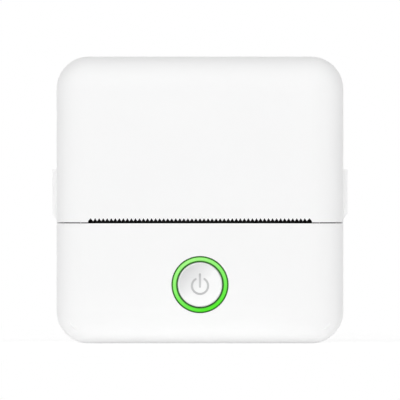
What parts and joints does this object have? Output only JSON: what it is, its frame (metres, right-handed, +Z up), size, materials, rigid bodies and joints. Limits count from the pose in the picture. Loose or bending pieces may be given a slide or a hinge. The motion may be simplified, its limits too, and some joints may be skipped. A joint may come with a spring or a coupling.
{
  "type": "portable photo printer",
  "caption": "Palm-size square thermal printer with a hinged paper lid, serrated tear edge, paper bucket, geared platen, sprung print head and a lit round power button.",
  "frame": {"origin": "centre of the bottom face's outline, on the surface that the printer stands on", "axes": "+Z up, -Y out of the face with the button, +X to the right seen from the front"},
  "size_m": [0.0824, 0.04, 0.08],
  "materials": {
    "case_plastic": "white moulded ABS, fine satin",
    "lens_green": "green tinted translucent light guide",
    "inner_plastic": "black moulded plastic",
    "gear_plastic": "natural acetal",
    "bushing_plastic": "black acetal",
    "platen_rubber": "black silicone rubber",
    "steel": "bright ground steel",
    "screw_steel": "black-plated steel",
    "spring_steel": "spring steel strip",
    "motor_steel": "zinc-plated motor can",
    "brass": "brass pinion",
    "sink_aluminium": "plain aluminium plate",
    "substrate_ceramic": "glazed alumina",
    "board_laminate": "green solder mask on glass-fibre board",
    "chip_plastic": "black moulded chip package",
    "led_plastic": "clear LED package",
    "battery_wrap": "silver pouch of a lithium cell",
    "pad_foam": "black foam tape"
  },
  "bodies": {
    "printer": {"front_shell": "case_plastic", "rear_shell": "case_plastic", "light_ring": "lens_green", "paper_bucket": "inner_plastic", "mechanism_frame": "inner_plastic", "paper_sensor": "chip_plastic", "hinge_pin": "steel", "gear_posts": "steel", "motor_can": "motor_steel", "motor_screws": "screw_steel", "pressure_springs": "spring_steel", "switch_body": "chip_plastic", "ring_leds": "led_plastic", "main_board": "board_laminate", "control_chips": "chip_plastic", "usb_socket": "steel", "battery_pack": "battery_wrap", "battery_pad": "pad_foam", "case_screws": "screw_steel", "frame_screws": "screw_steel", "board_screws": "screw_steel"},
    "lid": {"paper_lid": "case_plastic", "tear_bar": "case_plastic", "platen_bushings": "bushing_plastic"},
    "platen": {"platen_shaft": "steel", "platen_rubber": "platen_rubber", "platen_gear": "gear_plastic"},
    "idler": {"idler_gear": "gear_plastic"},
    "reduction": {"reduction_gear": "gear_plastic"},
    "rotor": {"motor_shaft": "steel", "motor_pinion": "brass"},
    "head": {"heat_sink": "sink_aluminium", "head_substrate": "substrate_ceramic"},
    "button": {"power_button": "case_plastic", "switch_plunger": "chip_plastic"}
  },
  "joints": [
    {"name": "lid_hinge", "type": "hinge", "parent": "printer", "child": "lid", "pos_m": [0, 0.0156, 0.0756], "axis": [-1, 0, 0], "range_deg": [0, 105]},
    {"name": "platen_spin", "type": "hinge", "parent": "lid", "child": "platen", "pos_m": [0, -0.0106, 0.0387], "axis": [1, 0, 0], "continuous": true},
    {"name": "idler_spin", "type": "hinge", "parent": "printer", "child": "idler", "pos_m": [0.0344, -0.00245, 0.03291], "axis": [1, 0, 0], "continuous": true},
    {"name": "reduction_spin", "type": "hinge", "parent": "printer", "child": "reduction", "pos_m": [0.0355, -0.00165, 0.02495], "axis": [1, 0, 0], "continuous": true},
    {"name": "motor_spin", "type": "hinge", "parent": "printer", "child": "rotor", "pos_m": [0.0355, -0.00018, 0.01658], "axis": [1, 0, 0], "continuous": true},
    {"name": "head_pivot", "type": "hinge", "parent": "printer", "child": "head", "pos_m": [0, -0.0041, 0.03], "axis": [1, 0, 0], "range_deg": [0, 2], "stiffness_Nm_per_rad": 1, "springref_deg": -2.86, "deforming": ["pressure_springs"]},
    {"name": "button_press", "type": "slide", "parent": "printer", "child": "button", "axis": [0, 1, 0], "range_m": [0, 0.0004], "stiffness_N_per_m": 400, "springref_m": -0.001}
  ],
  "couplings": [
    {"joint": "idler_spin", "follows": "platen_spin", "ratio": -1},
    {"joint": "reduction_spin", "follows": "platen_spin", "ratio": 1.6667},
    {"joint": "motor_spin", "follows": "platen_spin", "ratio": -4}
  ]
}
